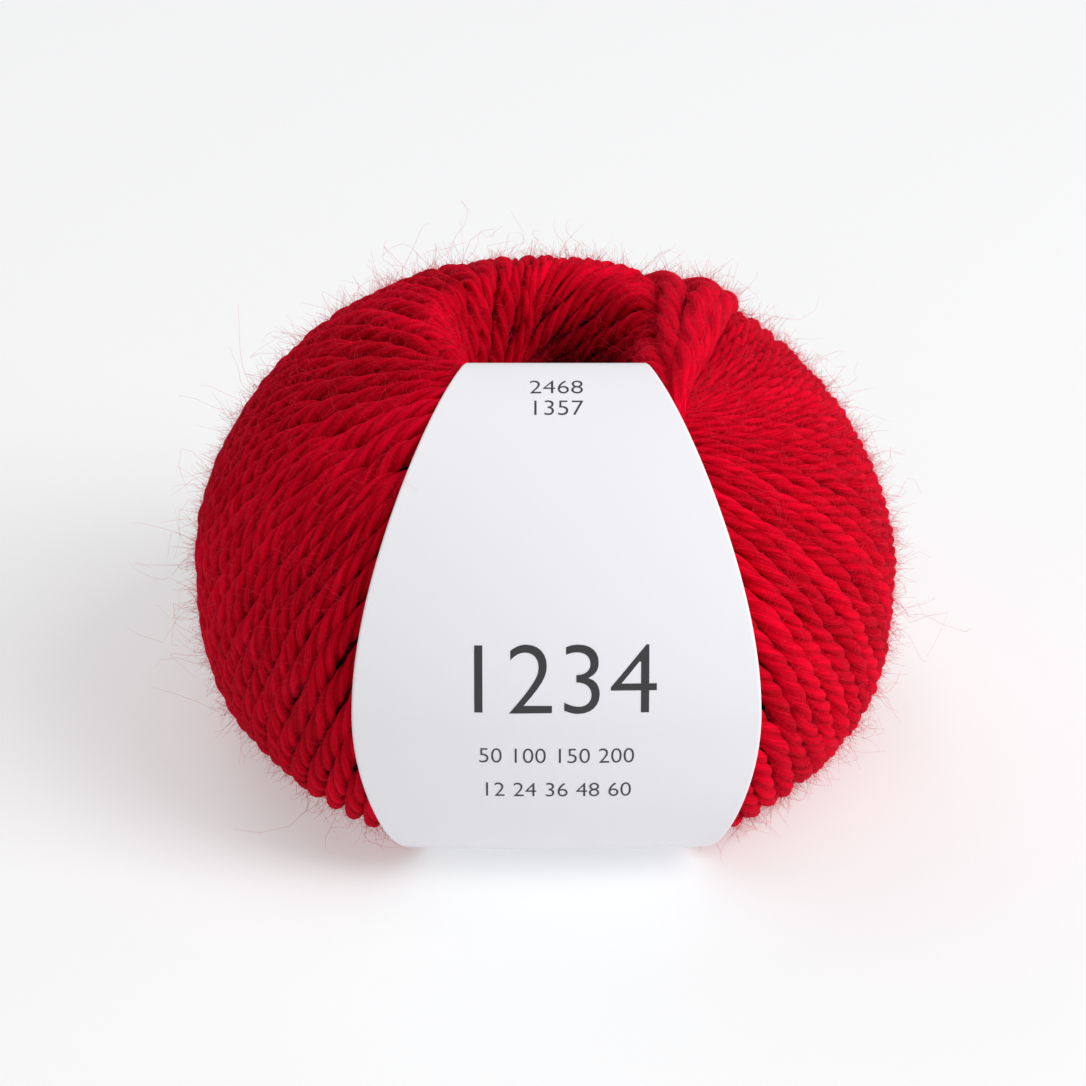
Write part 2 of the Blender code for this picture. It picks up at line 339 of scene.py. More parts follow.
core_painted_shade = bpy.data.materials.new("painted_shade_wool")
core_painted_shade.use_nodes = True
nodes, links = core_painted_shade.node_tree.nodes, core_painted_shade.node_tree.links
shader = nodes["Principled BSDF"]
shader.inputs["Roughness"].default_value = 0.95
shader.inputs["Specular IOR Level"].default_value = 0.1
place = nodes.new("ShaderNodeTexCoord")
strands = nodes.new("ShaderNodeTexNoise")
strands.inputs["Scale"].default_value = 900.0
strands.inputs["Detail"].default_value = 3.0
tint = nodes.new("ShaderNodeValToRGB")
tint.color_ramp.elements[0].position = 0.3
tint.color_ramp.elements[0].color = (0.05, 0.0002, 0.001, 1.0)
tint.color_ramp.elements[1].position = 0.75
tint.color_ramp.elements[1].color = (0.16, 0.0006, 0.004, 1.0)
relief = nodes.new("ShaderNodeBump")
relief.inputs["Strength"].default_value = 0.6
relief.inputs["Distance"].default_value = 0.0004
links.new(place.outputs["Object"], strands.inputs["Vector"])
links.new(strands.outputs["Fac"], tint.inputs["Fac"])
links.new(strands.outputs["Fac"], relief.inputs["Height"])
links.new(tint.outputs["Color"], shader.inputs["Base Color"])
links.new(relief.outputs["Normal"], shader.inputs["Normal"])
core.data.materials.append(core_painted_shade)
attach(core, "root")
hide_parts("yarn_ball")


# ---- The wound turns ----------------------------------------------------------------------------
# One thick yarn of four soft plies, twisted to the left and laid by the winder in loops that come up
# the outside, turn at the hole's rim and go down again. Each loop is laid a little further round
# than the last, so it lies over the loops before it and under those that follow.

PLIES = 4
PLY_SHARE = 0.53                           # a ply's radius, as a share of the yarn's
PLY_POINTS = 4
TWIST_LENGTH = 0.0155                      # along the yarn, for one full turn of its plies
YARN_STEP = 0.00100
NARROWEST = 0.56                           # how far neighbours squeeze a turn, against its thickness
TIGHTNESS = 1.06                           # a turn's width against its distance to the next
UP_CROWDED = (0.60, 0.54, 0.50)            # the 2nd, 4th and 8th turns go under where it gets this tight
DOWN_CROWDED = ()
UP_STEP = math.radians(4.0)                # between turns at the waist, where they run up and inwards
DOWN_STEP = math.radians(4.35)             # and where they run back down
UP_SPAN = (math.radians(267.5), math.radians(-70.0))        # azimuths at the waist, last turn first
DOWN_SPAN = (math.radians(446.0), math.radians(268.0))
LINING_SPAN = (math.radians(112.0), math.radians(305.0))
UP_PLY_SHARE = 0.50
DOWN_PLY_SHARE = 0.55
LOWEST_ARC = 0.1100
DEEPEST_ARC = -0.0240
ARC_STEP = 0.00005
ROUTE_STRIDE = 8
DIVE = 0.0060                              # length over which a turn goes down under another
TUCK = 0.0090                              # how far it goes on below
GATHERED_ONWARD = 0.0300                   # how far a gathered turn goes on past the axis
BACK_FROM = 0.0300                         # in y: gathered turns show on the left only behind this
LINING_COVERED = 0.0015                    # the lining goes under this far before the crest
SEED = 11

# how near the hole's axis a half loop would pass, by the azimuth at which it meets the waist
UP_MEETS = np.radians([-75, 0, 40, 80, 100, 120, 135, 145, 165, 205, 235, 268])
UP_PASSES = np.array([10.0, 10.0, 8.5, 5.0, 4.5, 6.0, 11.0, 17.5, 20.0, 21.0, 19.0, 18.0]) / 1000.0
DOWN_MEETS = np.radians([-95, -45, -15, 12])
DOWN_PASSES = np.array([22.0, 24.5, 26.3, 26.6]) / 1000.0
GATHER = (0.0181, -0.0192)                 # seen from above, where the rest all run together at the rim
GATHER_REACH = 0.0100
GATHERED = 0.60                            # how much they are squeezed there
LINING_PASSES = 0.0080
UP_FLARE = 0.16                            # the turns lie more slantwise below the shoulder
FLARE_ARC = (0.035, 0.050)

# what shows of them, how uneven they are, and the shade painted into the hole
HIDDEN_MARGIN = 0.0060                     # turns are left out from this far inside the band's edge
BARE_MARGIN = HIDDEN_MARGIN + 0.0016       # and turns this close outside it grow no fibres
HIDDEN_DEPTH = 1.2                         # below the paper, against the yarn's thickness
BARE_DEPTH = 3.0
SHADE_FROM = 0.0046                        # below the crest, where the shade painted into the hole begins
SHADE_FADE = 0.0110
SHADE_LEFT = -0.0040                       # in x: the hole's left part gets no painted shade
SHADE_LEFT_FADE = 0.0065
SHADE_OUT = 0.0010                         # the painted shade ends this far outside the crest
SIDE_WANDER = 0.16
DEPTH_WANDER = 0.00016
TWIST_WANDER = 0.5
PLUMP_WANDER = 0.05

arcs = np.arange(DEEPEST_ARC, LOWEST_ARC, ARC_STEP)
at_waist = int(np.argmin(np.abs(arcs - WAIST_ARC)))


def half_loop(meet, passes, way, flare=0.0):
    """Azimuth at each arc for a half loop that meets the waist at azimuth meet and runs with
    way * azimuth growing inwards, and the first and last index of the arcs that it reaches."""
    radius = section_at(arcs, YARN / 2)[0]
    slant = passes * (1.0 + flare * ease((arcs - FLARE_ARC[0]) / (FLARE_ARC[1] - FLARE_ARC[0])))
    free = radius > slant * 1.002
    rate = slant / (radius * np.sqrt((radius ** 2 - slant ** 2).clip(1e-9)))
    run = np.concatenate([[0.0], np.cumsum((rate[1:] + rate[:-1]) / 2 * ARC_STEP)])
    azimuth = meet + way * (run[at_waist] - run)
    blocked = np.flatnonzero(~free[:at_waist])
    first = int(blocked[-1]) + 1 if len(blocked) else 0
    blocked = np.flatnonzero(~free[at_waist:])
    last = at_waist + int(blocked[0]) if len(blocked) else len(arcs)
    return azimuth, first, last


def hidden_by_paper(place, depth=HIDDEN_DEPTH):
    """How far inside the band's edge a place below it is, in metres, less a margin. It counts as
    below the band down to depth times the yarn's thickness."""
    _, nearest, distance = paper_tree.find(place)
    return -paper_beyond[nearest] - HIDDEN_MARGIN if distance < depth * YARN else -1.0


class Turns:
    """Paths of yarn on the ball, gathered point by point for one piece."""

    def __init__(self, seed, twist=TWIST_LENGTH):
        self.chance = np.random.default_rng(seed)
        self.twist = twist
        self.paths = []
        self.below = []                    # functions that say how much deeper a path must lie
        self.gathers = False

    def wander(self, run, length):
        """A smooth random wave along a path, about -1 to 1."""
        waves = [np.sin(2.0 * math.pi * run / (length * share) + self.chance.uniform(0.0, 2.0 * math.pi))
                 for share in (1.0, 0.62, 0.37)]
        return (waves[0] + 0.7 * waves[1] + 0.4 * waves[2]) / 1.6

    def lay(self, azimuth, arc, depth, width):
        """One path: where it runs, how deep its middle lies and how wide it is."""
        places, normals = on_ball(azimuth, arc, depth)
        run = np.concatenate([[0.0], np.cumsum(np.linalg.norm(np.diff(places, axis=0), axis=1))])
        azimuth = azimuth + self.wander(run, 0.030) * SIDE_WANDER * width / section_at(arc)[0]
        depth = depth + self.wander(run, 0.022) * DEPTH_WANDER + DEPTH_WANDER
        places, normals = on_ball(azimuth, arc, depth)
        for deeper in self.below:
            extra = deeper(places, normals)
            if extra.max() > 0.0:
                around = np.lib.stride_tricks.sliding_window_view(np.pad(extra, 6, mode="edge"), 7)
                extra = np.convolve(around.max(axis=1), np.ones(7) / 7.0, mode="valid")
                places = places - normals * extra[:, None]
        # what the band hides is left out, and so is what gathered turns do on the left, up to the back
        seen = np.array([hidden_by_paper(place) < 0.0 for place in places])
        if self.gathers:
            seen &= (places[:, 0] > 0.0) | (places[:, 1] > BACK_FROM)
        starts = np.flatnonzero(np.diff(np.concatenate([[False], seen]).astype(int)) == 1)
        stops = np.flatnonzero(np.diff(np.concatenate([seen, [False]]).astype(int)) == -1)
        tone = self.chance.uniform(0.0, 1.0)
        for start, stop in zip(starts, stops):
            if stop - start > 12:
                part = slice(start, stop + 1)
                self.spin(places[part], normals[part], width[part], tone)

    def spin(self, places, normals, width, tone):
        """Keep one path at even steps, with the frames that turn its plies."""
        gathered = np.ones(len(places))
        if self.gathers:
            nearness = np.hypot(places[:, 0] - GATHER[0], places[:, 1] - GATHER[1]) / GATHER_REACH
            squeezed = GATHERED + (1.0 - GATHERED) * ease(nearness)
            gathered = np.where(places[:, 2] > WAIST_HEIGHT, squeezed, 1.0)
        run = np.concatenate([[0.0], np.cumsum(np.linalg.norm(np.diff(places, axis=0), axis=1))])
        count = int(round(run[-1] / YARN_STEP)) + 1
        stops = np.linspace(0.0, run[-1], count)

        def resampled(values):
            return np.interp(stops, run, values)

        places = np.stack([resampled(places[:, axis]) for axis in range(3)], axis=1)
        normals = np.stack([resampled(normals[:, axis]) for axis in range(3)], axis=1)
        along = np.gradient(places, axis=0)
        along /= np.linalg.norm(along, axis=1)[:, None]
        aside = np.cross(along, normals)
        aside /= np.linalg.norm(aside, axis=1)[:, None]
        upright = np.cross(aside, along)
        turn = self.chance.uniform(0.0, 2.0 * math.pi) - 2.0 * math.pi * stops / self.twist
        turn = (turn + TWIST_WANDER * self.wander(stops, 0.045))[:, None]
        facing = upright * np.cos(turn) + np.cross(along, upright) * np.sin(turn)
        # the shade entry is painted shade: it says how deep in the hole a point lies, and darkens the wool's
        # colour there
        self.paths.append({
            "place": places, "aside": aside, "upright": upright, "facing": facing,
            "plump": (1.0 + PLUMP_WANDER * self.wander(stops, 0.018)) * np.sqrt(resampled(gathered)),
            "wide": resampled(width * np.sqrt(gathered)) / YARN,
            "run": stops + self.chance.uniform(0.0, 1.0),
            "tone": np.full(count, tone),
            "bare": np.array([float(hidden_by_paper(place, BARE_DEPTH) < -BARE_MARGIN) for place in places]),
            "shade": ease((BALL_HEIGHT - SHADE_FROM - places[:, 2]) / SHADE_FADE)
            * ease((places[:, 0] - SHADE_LEFT) / SHADE_LEFT_FADE)
            * (np.hypot(places[:, 0], places[:, 1]) < CREST_RADIUS + SHADE_OUT)})

    def guide(self, name):
        """The paths as a mesh of edges, with their frames as attributes."""
        counts = [len(path["run"]) for path in self.paths]
        starts = np.concatenate([[0], np.cumsum(counts)])
        edges = np.concatenate([np.stack([np.arange(a, b - 1), np.arange(a + 1, b)], axis=1)
                                for a, b in zip(starts, starts[1:])])
        joined = {key: np.concatenate([path[key] for path in self.paths]) for key in self.paths[0]}
        mesh = bpy.data.meshes.new(name)
        mesh.from_pydata(joined["place"].tolist(), edges.tolist(), [])
        for key, values in joined.items():
            kind, field = ("FLOAT_VECTOR", "vector") if values.ndim == 2 else ("FLOAT", "value")
            layer = mesh.attributes.new(key, kind, "POINT")
            layer.data.foreach_set(field, values.astype(np.float32).ravel())
        return link(name, mesh)


class Tree:
    """A Geometry Nodes tree, built with named inputs."""

    def __init__(self, name, inputs):
        self.tree = bpy.data.node_groups.new(name, "GeometryNodeTree")
        face = self.tree.interface
        face.new_socket("Geometry", in_out="INPUT", socket_type="NodeSocketGeometry")
        self.keys = {}
        for label, kind in inputs.items():
            socket = face.new_socket(label, in_out="INPUT", socket_type=kind)
            self.keys[label] = socket.identifier
        face.new_socket("Geometry", in_out="OUTPUT", socket_type="NodeSocketGeometry")
        self.given = self.tree.nodes.new("NodeGroupInput").outputs
        self.result = self.tree.nodes.new("NodeGroupOutput").inputs["Geometry"]

    def node(self, kind, settings=None, **sockets):
        """A node whose inputs are values or other nodes' outputs. Names use _ for a space."""
        made = self.tree.nodes.new(kind)
        for key, value in (settings or {}).items():
            setattr(made, key, value)
        for key, value in sockets.items():
            place = int(key[1:]) if key[1:].isdigit() else key.replace("_", " ")
            self.put(value, made.inputs[place])
        return made

    def put(self, value, socket):
        if isinstance(value, bpy.types.NodeSocket):
            self.tree.links.new(value, socket)
        else:
            socket.default_value = value

    def math(self, operation, *values):
        made = self.tree.nodes.new("ShaderNodeMath")
        made.operation = operation
        for value, socket in zip(values, made.inputs):
            self.put(value, socket)
        return made.outputs[0]

    def vector(self, operation, *values):
        made = self.tree.nodes.new("ShaderNodeVectorMath")
        made.operation = operation
        for value, socket in zip(values, made.inputs):
            self.put(value, socket)
        return made.outputs["Value" if operation in ("DOT_PRODUCT", "LENGTH") else "Vector"]

    def scaled(self, vector, factor):
        made = self.tree.nodes.new("ShaderNodeVectorMath")
        made.operation = "SCALE"
        self.put(vector, made.inputs[0])
        self.put(factor, made.inputs["Scale"])
        return made.outputs["Vector"]

    def read(self, name, kind="FLOAT"):
        made = self.tree.nodes.new("GeometryNodeInputNamedAttribute")
        made.data_type = kind
        made.inputs["Name"].default_value = name
        return made.outputs["Attribute"]

    def store(self, geometry, name, value, kind="FLOAT"):
        made = self.tree.nodes.new("GeometryNodeStoreNamedAttribute")
        made.data_type = kind
        made.domain = "POINT"
        made.inputs["Name"].default_value = name
        self.put(geometry, made.inputs["Geometry"])
        self.put(value, made.inputs["Value"])
        return made.outputs["Geometry"]

    def grow(self, guide, name, values):
        """Apply the tree to a guide object, and return the result as a plain mesh's object."""
        modifier = guide.modifiers.new(self.tree.name, "NODES")
        modifier.node_group = self.tree
        for label, value in values.items():
            modifier[self.keys[label]] = value
        bpy.context.view_layer.update()
        depsgraph = bpy.context.evaluated_depsgraph_get()
        mesh = bpy.data.meshes.new_from_object(guide.evaluated_get(depsgraph))
        mesh.name = name
        bpy.data.objects.remove(guide)
        return link(name, mesh)


def yarn_tree():
    """Twisted plies along each guide, squeezed sideways where their neighbours press on them."""
    t = Tree("plied_yarn", {"Thickness": "NodeSocketFloat", "Plies": "NodeSocketInt",
                            "Ply Share": "NodeSocketFloat", "Ply Points": "NodeSocketInt",
                            "Wool": "NodeSocketMaterial"})
    radius = t.math("MULTIPLY", t.given["Thickness"], 0.5)
    sides = t.math("MULTIPLY", t.given["Plies"], t.given["Ply Points"])
    circle = t.node("GeometryNodeCurvePrimitiveCircle", Resolution=sides, Radius=1.0)
    index = t.node("GeometryNodeInputIndex").outputs[0]
    # each ply is a circle: its outline's distance from the yarn's middle, by the angle from the ply
    portion = t.math("FRACT", t.math("DIVIDE", index, t.given["Ply Points"]))
    from_ply = t.math("MULTIPLY", t.math("SUBTRACT", portion, 0.5),
                      t.math("DIVIDE", 2.0 * math.pi, t.given["Plies"]))
    ply = t.math("MULTIPLY", radius, t.given["Ply Share"])
    out = t.math("SUBTRACT", radius, ply)
    sine = t.math("MULTIPLY", out, t.math("SINE", from_ply))
    rest = t.math("SUBTRACT", t.math("MULTIPLY", ply, ply), t.math("MULTIPLY", sine, sine))
    reach = t.math("ADD", t.math("MULTIPLY", out, t.math("COSINE", from_ply)),
                   t.math("SQRT", t.math("MAXIMUM", rest, 0.0)))
    spot = t.node("GeometryNodeInputPosition").outputs[0]
    outline = t.node("GeometryNodeSetPosition", Geometry=circle.outputs[0],
                     Position=t.scaled(spot, reach)).outputs[0]
    outline = t.store(outline, "section", spot, "FLOAT_VECTOR")

    path = t.node("GeometryNodeMeshToCurve", Mesh=t.given["Geometry"]).outputs[0]
    path = t.node("GeometryNodeSetCurveNormal", {"mode": "FREE"}, Curve=path,
                  Normal=t.read("facing", "FLOAT_VECTOR")).outputs[0]
    tube = t.node("GeometryNodeCurveToMesh", Curve=path, Profile_Curve=outline, Scale=t.read("plump"),
                  Fill_Caps=True).outputs[0]

    middle = t.read("place", "FLOAT_VECTOR")
    aside = t.read("aside", "FLOAT_VECTOR")
    off = t.vector("SUBTRACT", spot, middle)
    sideways = t.vector("DOT_PRODUCT", off, aside)
    squeeze = t.math("MULTIPLY", sideways, t.math("SUBTRACT", t.read("wide"), 1.0))
    tube = t.node("GeometryNodeSetPosition", Geometry=tube, Offset=t.scaled(aside, squeeze)).outputs[0]
    lengthways = t.node("ShaderNodeCombineXYZ", Z=t.read("run")).outputs[0]
    fibre = t.vector("ADD", t.read("section", "FLOAT_VECTOR"), lengthways)
    tube = t.store(tube, "fibre", fibre, "FLOAT_VECTOR")
    tube = t.node("GeometryNodeSetShadeSmooth", Geometry=tube, Shade_Smooth=True).outputs[0]
    tube = t.node("GeometryNodeRealizeInstances", Geometry=tube).outputs[0]
    tube = t.node("GeometryNodeSetMaterial", Geometry=tube, Material=t.given["Wool"]).outputs[0]
    t.put(tube, t.result)
    return t


def wool_material(name, dark, bright):
    """Plied wool: fine streaks along the plies, a little uneven in tone, with a soft bloom. Shade is painted
    into it: darker where the outline dips into the grooves between plies, and near black deep in the hole.
    """
    wool = bpy.data.materials.new(name)
    wool.use_nodes = True
    nodes, links = wool.node_tree.nodes, wool.node_tree.links
    shader = nodes["Principled BSDF"]
    shader.inputs["Roughness"].default_value = 0.80
    shader.inputs["Specular IOR Level"].default_value = 0.03
    shader.inputs["Sheen Weight"].default_value = 0.22
    shader.inputs["Sheen Roughness"].default_value = 0.5
    shader.inputs["Sheen Tint"].default_value = (1.0, 0.02, 0.10, 1.0)
    fibre = nodes.new("ShaderNodeAttribute")
    fibre.attribute_name = "fibre"
    stretch = nodes.new("ShaderNodeVectorMath")
    stretch.operation = "MULTIPLY"
    stretch.inputs[1].default_value = (2800.0, 2800.0, 200.0)
    streaks = nodes.new("ShaderNodeTexNoise")
    streaks.inputs["Scale"].default_value = 1.0
    streaks.inputs["Detail"].default_value = 4.0
    streaks.inputs["Roughness"].default_value = 0.65
    flat = nodes.new("ShaderNodeVectorMath")
    flat.operation = "MULTIPLY"
    flat.inputs[1].default_value = (1.0, 1.0, 0.0)
    reach = nodes.new("ShaderNodeVectorMath")
    reach.operation = "LENGTH"
    # painted shade: the colour is made darker where the yarn's outline dips into the grooves between its
    # plies
    groove_shade = nodes.new("ShaderNodeMapRange")
    groove_shade.inputs["From Min"].default_value = 0.72 * YARN / 2
    groove_shade.inputs["From Max"].default_value = 0.98 * YARN / 2
    groove_shade.inputs["To Min"].default_value = -0.16
    groove_shade.inputs["To Max"].default_value = 0.05
    tone = nodes.new("ShaderNodeAttribute")
    tone.attribute_name = "tone"
    place = nodes.new("ShaderNodeTexCoord")
    patches = nodes.new("ShaderNodeTexNoise")
    patches.inputs["Scale"].default_value = 160.0
    patches.inputs["Detail"].default_value = 2.0
    weigh = nodes.new("ShaderNodeMath")
    weigh.operation = "MULTIPLY_ADD"
    weigh.inputs[1].default_value = 0.16
    add = nodes.new("ShaderNodeMath")
    add.operation = "MULTIPLY_ADD"
    add.inputs[1].default_value = 0.22
    streaks_and_groove_shade = nodes.new("ShaderNodeMath")
    tint = nodes.new("ShaderNodeValToRGB")
    tint.color_ramp.elements[0].position = 0.46
    tint.color_ramp.elements[0].color = dark
    tint.color_ramp.elements[1].position = 0.90
    tint.color_ramp.elements[1].color = bright
    relief = nodes.new("ShaderNodeBump")
    relief.inputs["Strength"].default_value = 0.7
    relief.inputs["Distance"].default_value = 0.00018
    # painted shade: the 'shade' attribute mixes the wool's colour towards near black deep in the hole
    shade = nodes.new("ShaderNodeAttribute")
    shade.attribute_name = "shade"
    hole_shade_mix = nodes.new("ShaderNodeMix")
    hole_shade_mix.data_type = "RGBA"
    hole_shade_mix.inputs["B"].default_value = (0.022, 0.0001, 0.0004, 1.0)
    links.new(fibre.outputs["Vector"], stretch.inputs[0])
    links.new(stretch.outputs["Vector"], streaks.inputs["Vector"])
    links.new(place.outputs["Object"], patches.inputs["Vector"])
    links.new(patches.outputs["Fac"], add.inputs[0])
    links.new(fibre.outputs["Vector"], flat.inputs[0])
    links.new(flat.outputs["Vector"], reach.inputs[0])
    links.new(reach.outputs["Value"], groove_shade.inputs["Value"])
    links.new(groove_shade.outputs["Result"], streaks_and_groove_shade.inputs[0])
    links.new(streaks.outputs["Fac"], streaks_and_groove_shade.inputs[1])
    links.new(streaks_and_groove_shade.outputs["Value"], add.inputs[2])
    links.new(tone.outputs["Fac"], weigh.inputs[0])
    links.new(add.outputs["Value"], weigh.inputs[2])
    links.new(weigh.outputs["Value"], tint.inputs["Fac"])
    links.new(shade.outputs["Fac"], hole_shade_mix.inputs["Factor"])
    links.new(tint.outputs["Color"], hole_shade_mix.inputs["A"])
    links.new(hole_shade_mix.outputs["Result"], shader.inputs["Base Color"])
    links.new(streaks.outputs["Fac"], relief.inputs["Height"])
    links.new(relief.outputs["Normal"], shader.inputs["Normal"])
    return wool


wool = wool_material("crimson_wool", (0.33, 0.0002, 0.0040, 1.0), (0.88, 0.0008, 0.0240, 1.0))
plied_yarn = yarn_tree()


def wind(turns, name, share=PLY_SHARE):
    """Make one piece of the gathered paths."""
    piece = plied_yarn.grow(turns.guide(name + "_paths"), name, {
        "Thickness": YARN, "Plies": PLIES, "Ply Share": share, "Ply Points": PLY_POINTS, "Wool": wool})
    for spare in ("place", "aside", "facing", "plump", "wide", "run", "section"):
        if spare in piece.data.attributes:
            piece.data.attributes.remove(piece.data.attributes[spare])
    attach(piece, "root")
    return piece


def crowd(azimuth, following, arc, rank, crowded):
    """A turn's width between its neighbours at each arc, and where it goes under them for good.
    Where the turns get too close, those of rank 0 go under first, then those of rank 1, and so on."""
    radius = section_at(arc, YARN / 2)[0]
    spacing = radius * np.abs(following - azimuth)
    slope = np.gradient(azimuth) * radius / np.maximum(np.abs(np.gradient(arc)), 1e-9)
    clear = spacing / np.hypot(1.0, slope)
    inner = arc < WAIST_ARC
    for level, closest in enumerate(crowded):
        tight = np.flatnonzero(inner & (clear < closest * YARN))
        limit = arc[tight[-1]] if len(tight) else -1.0
        if level == rank:
            return np.clip(TIGHTNESS * clear, NARROWEST * YARN, YARN), limit
        clear = clear * (1.0 + ease((limit + 0.003 - arc) / 0.006))
    return np.clip(TIGHTNESS * clear, NARROWEST * YARN, YARN), -1.0


def rank_of(index):
    """0 for every second turn, 1 for every second of the rest, and so on."""
    rank = 0
    while index % 2 and rank < len(UP_CROWDED):
        index //= 2
        rank += 1
    return rank


def lay_half(turns, index, half, step, hidden, crowded=UP_CROWDED, onward=TUCK):
    """Lay one half loop: half holds its azimuth at the waist and the function that gives its route.
    hidden holds how far past the turns that cover it each arc is, in metres; onward is how far it
    goes on after it has passed the axis."""
    meet, make = half
    azimuth, first, last = make(meet)
    following, _, _ = make(meet + step)
    width, limit = crowd(azimuth, following, arcs, rank_of(index), crowded)
    past = np.maximum(hidden, limit + turns.chance.uniform(-0.003, 0.003) - arcs)
    shown = np.flatnonzero(past[first:last] < TUCK)
    if len(shown) < 60:
        return
    span = slice(first + shown[0], first + shown[-1] + 1, ROUTE_STRIDE)
    sink = YARN * ease(past[span] / DIVE)
    route = [azimuth[span], arcs[span], YARN / 2 + sink, width[span]]
    if shown[0] == 0 and arcs[first] > DEEPEST_ARC + 0.001:
        # round the hole's rim, and then under the loops that follow
        turned = 2.0 * azimuth[first] - route[0]
        beyond = np.abs(turned - azimuth[first]) * section_at(route[1])[0]
        keep = beyond < onward
        sink = YARN * ease(beyond[keep] / TUCK) if onward == TUCK else 0.0 * beyond[keep]
        back = [turned[keep], route[1][keep], YARN / 2 + sink, route[3][keep]]
        route = [np.concatenate([b[::-1], a]) for a, b in zip(route, back)]
    turns.lay(*route)


rim = section_at(arcs)[0]

# how far round a downward half has gone, from the waist, when it reaches the gathering point past its
# own nearest place to the axis
gather_radius = math.hypot(*GATHER)
gather_azimuth = math.atan2(GATHER[1], GATHER[0])
at_gather = int(np.argmin(np.abs(rim - gather_radius) + (arcs < 0.0)))
gather_passes = np.linspace(0.0160, gather_radius * 0.999, 40)
gather_sweeps = []
for passes in gather_passes:
    swept, first, _ = half_loop(0.0, passes, -1.0)
    gather_sweeps.append(-2.0 * swept[first] + swept[max(at_gather, first)])
gather_passes, gather_sweeps = gather_passes[::-1], np.maximum.accumulate(gather_sweeps[::-1])


def up_half(meet):
    return half_loop(meet, float(np.interp(meet, UP_MEETS, UP_PASSES)), 1.0, UP_FLARE)


def down_half(meet):
    alpha = float(wrap(meet))
    if alpha < DOWN_MEETS[-1]:
        return half_loop(meet, float(np.interp(alpha, DOWN_MEETS, DOWN_PASSES)), -1.0)
    return half_loop(meet, float(np.interp(alpha - gather_azimuth, gather_sweeps, gather_passes)), -1.0)


def lining(meet):
    return half_loop(meet, LINING_PASSES, 1.0)


# Three loose turns cross the rim at the right, where the ball was handled, and stand above the rest,
# beside two that line the rim. Their routes are seen from above, in millimetres, from under the band
# over the rim to the back. Columns: lift, thickness against the others, route.
LOOSE_ROUTES = (
    (0.7, 1.10, ((11.0, -46.8), (15.6, -28.5), (18.0, -19.2), (17.7, -12.8), (17.2, -3.6),
                 (17.5, 5.0), (18.6, 16.0), (14.0, 32.0), (0.3, 49.9))),
    (1.9, 1.22, ((10.0, -47.0), (15.7, -28.5), (18.2, -19.2), (19.0, -12.4), (20.4, -3.2),
                 (21.5, 6.0), (23.2, 17.0), (19.0, 32.0), (5.5, 49.6))),
    (1.6, 1.00, ((9.0, -47.4), (15.8, -28.5), (18.5, -19.2), (20.2, -11.8), (22.9, -1.0),
                 (24.6, 7.0), (25.6, 17.0), (21.8, 31.5), (9.0, 49.0))))
RIM_ROUTES = (
    (-0.1, 1.0, ((12.0, -46.6), (16.0, -28.5), (17.7, -17.8), (15.6, -11.2), (14.3, -4.0),
                 (13.8, 4.0), (13.4, 12.0))),
    (-0.3, 1.0, ((13.0, -46.2), (15.5, -28.5), (17.0, -16.8), (13.6, -10.6), (12.0, -4.0),
                 (11.5, 3.0), (11.6, 9.0))))
LOOSE_TWIST = 0.0300                       # the loose turns have lost most of their twist
LOOSE_PLY_SHARE = 0.56
LOOSE_TOUCH = 0.90                         # how far apart crossing turns stay, against their thickness
LOOSE_CLEAR = 0.25                         # near the gathering point they may cross freely


def smooth_route(points, count):
    """A Catmull-Rom curve through points."""
    points = np.array(points)
    ends = np.concatenate([[2 * points[0] - points[1]], points, [2 * points[-1] - points[-2]]])
    where = np.linspace(0.0, len(points) - 1.0, count)
    index = np.minimum(where.astype(int), len(points) - 2)
    t = (where - index)[:, None]
    a, b, c, d = (ends[index + k] for k in range(4))
    second, third = 2 * a - 5 * b + 4 * c - d, 3 * b - a - 3 * c + d
    return 0.5 * (2 * b + (c - a) * t + second * t ** 2 + third * t ** 3)


upper = arcs[(arcs > -0.0115) & (arcs < WAIST_ARC)]
upper_radius = section_at(upper)[0]


def lay_route(turns, lift, thick, plan):
    """Lay a turn over the rim by its route from above; the long ones go on down the back."""
    spots = smooth_route(plan, 260) / 1000.0
    azimuth = np.unwrap(np.arctan2(spots[:, 1], spots[:, 0]))
    arc = np.interp(np.hypot(spots[:, 0], spots[:, 1]), upper_radius, upper)
    over = ease((spots[:, 1] + 0.026) / 0.012) * ease((0.038 - spots[:, 1]) / 0.020)
    depth = YARN / 2 - lift / 1000.0 * over
    wide = YARN * (1.0 + (thick - 1.0) * over)
    if spots[-1, 1] > BALL_RADIUS / 2:
        tail, first, last = down_half(azimuth[-1])
        span = slice(at_waist + 8, last, ROUTE_STRIDE)
        azimuth = np.concatenate([azimuth, tail[span]])
        arc = np.concatenate([arc, arcs[span]])
        depth = np.concatenate([depth, np.full(len(tail[span]), YARN / 2)])
        wide = np.concatenate([wide, np.full(len(tail[span]), YARN)])
    else:
        depth = depth + 1.4 * YARN * ease((spots[:, 1] - spots[-1, 1] + 0.010) / 0.010)
    turns.lay(azimuth, arc, depth, wide)
    return azimuth, arc


loose_turns = Turns(SEED + 2, LOOSE_TWIST)
loose_turns.below.append(below_paper)
loose_turns.gathers = True
loose_lines = [lay_route(loose_turns, *route) for route in LOOSE_ROUTES]
loose_points = np.concatenate([path["place"] for path in loose_turns.paths])
loose_tree = search_tree(loose_points)


